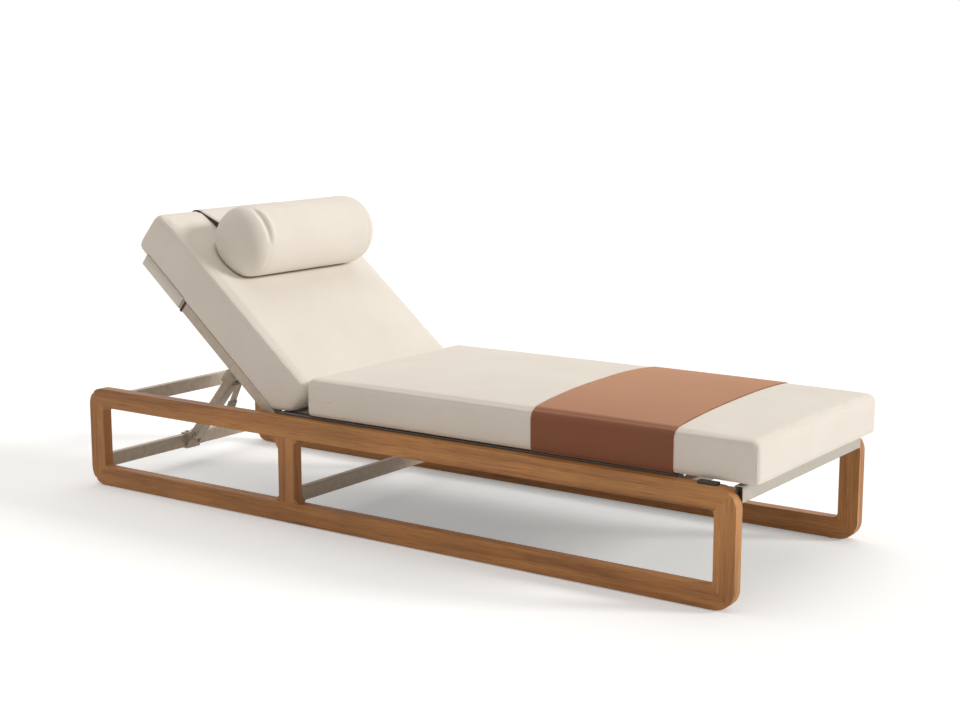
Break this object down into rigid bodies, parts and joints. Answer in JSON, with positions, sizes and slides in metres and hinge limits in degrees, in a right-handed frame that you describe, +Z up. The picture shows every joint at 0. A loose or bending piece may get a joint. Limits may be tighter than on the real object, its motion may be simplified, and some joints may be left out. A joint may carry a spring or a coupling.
{
  "type": "chaise lounge",
  "caption": "Low lounger with closed teak side frames, a reclining back on a telescopic stay with grip lever, thick loose cushions, a coloured foot band and a neck roll on a weighted flap.",
  "frame": {"origin": "on the floor under the middle of the lounger's length and width", "axes": "+X points to the foot end, +Y across to the far side frame, +Z up; the back is stored in its highest position"},
  "size_m": [2.03, 0.7, 0.7942],
  "materials": {
    "teak": "oiled, fine straight grain",
    "tenon_wood": "plain sawn",
    "taupe_metal": "powder coated, satin",
    "pale_metal": "powder coated, satin",
    "steel": "satin",
    "dark_plastic": "matt",
    "grey_plastic": "matt",
    "dark_metal": "powder coated, satin",
    "white_nylon": "matt",
    "cream_fabric": "fine outdoor weave",
    "tan_fabric": "fine outdoor weave",
    "brown_fabric": "fine outdoor weave"
  },
  "bodies": {
    "frame": {"near_top_rail": "teak", "near_bottom_rail": "teak", "near_head_leg": "teak", "near_middle_leg": "teak", "near_foot_leg": "teak", "far_top_rail": "teak", "far_bottom_rail": "teak", "far_head_leg": "teak", "far_middle_leg": "teak", "far_foot_leg": "teak", "loose_tenons": "tenon_wood", "head_upper_bar": "taupe_metal", "head_lower_bar": "taupe_metal", "middle_bar": "taupe_metal", "foot_bar": "pale_metal", "bar_screws": "steel", "foot_bar_angles": "pale_metal", "foot_bar_screws": "steel", "floor_glides": "dark_plastic", "deck_bearers": "taupe_metal", "deck_side_tubes": "dark_metal", "deck_slats": "pale_metal", "deck_bolts": "steel", "tube_caps": "dark_plastic", "cushion_pads": "dark_plastic", "hinge_plates": "pale_metal", "hinge_pins": "steel", "hinge_clips": "dark_plastic", "board_screws": "steel", "back_rests": "dark_plastic", "stay_foot_bracket": "taupe_metal", "stay_foot_ears": "taupe_metal", "stay_foot_bolts": "steel", "seat_cushion": "cream_fabric", "foot_band": "tan_fabric"},
    "backrest": {"back_side_tubes": "taupe_metal", "back_cross_tubes": "taupe_metal", "back_slats": "pale_metal", "hinge_eyes": "taupe_metal", "hinge_bushes": "white_nylon", "back_hood": "cream_fabric", "hood_straps": "brown_fabric", "back_cushion": "cream_fabric", "stay_head_bracket": "pale_metal", "stay_head_screws": "steel"},
    "stay_sleeve": {"stay_sleeve": "taupe_metal", "lock_head": "taupe_metal", "stay_foot_pins": "steel", "lever_pin": "steel", "lever_spring": "steel"},
    "stay_bar": {"stay_bar": "pale_metal", "guide_shoe": "white_nylon", "stay_head_pin": "steel", "head_pin_clips": "dark_plastic"},
    "release_lever": {"release_lever": "taupe_metal", "lever_grip": "grey_plastic"},
    "neck_roll": {"neck_roll": "cream_fabric", "roll_flap": "cream_fabric", "flap_weight": "brown_fabric"}
  },
  "joints": [
    {"name": "back_tilt", "type": "hinge", "parent": "frame", "child": "backrest", "pos_m": [-0.37, 0, 0.266], "axis": [0, 1, 0], "range_deg": [-40, 0]},
    {"name": "stay_tilt", "type": "hinge", "parent": "frame", "child": "stay_sleeve", "pos_m": [-0.95, 0, 0.086], "axis": [0, -1, 0], "range_deg": [-20.51, 0]},
    {"name": "stay_slide", "type": "slide", "parent": "stay_sleeve", "child": "stay_bar", "axis": [0.6357, 0, 0.772], "range_m": [-0.1886, 0]},
    {"name": "lever_release", "type": "hinge", "parent": "stay_sleeve", "child": "release_lever", "pos_m": [-0.808, 0, 0.28126], "axis": [0, -1, 0], "range_deg": [0, 7], "stiffness_Nm_per_rad": 1, "springref_deg": -20.05},
    {"name": "neck_roll_lift", "type": "slide", "parent": "backrest", "child": "neck_roll", "axis": [-0.766, 0, 0.6428], "range_m": [0, 0.35]}
  ],
  "couplings": [
    {"joint": "stay_tilt", "follows": "back_tilt", "ratio": 0.5116},
    {"joint": "stay_slide", "follows": "back_tilt", "m_per_rad": 0.26974}
  ]
}
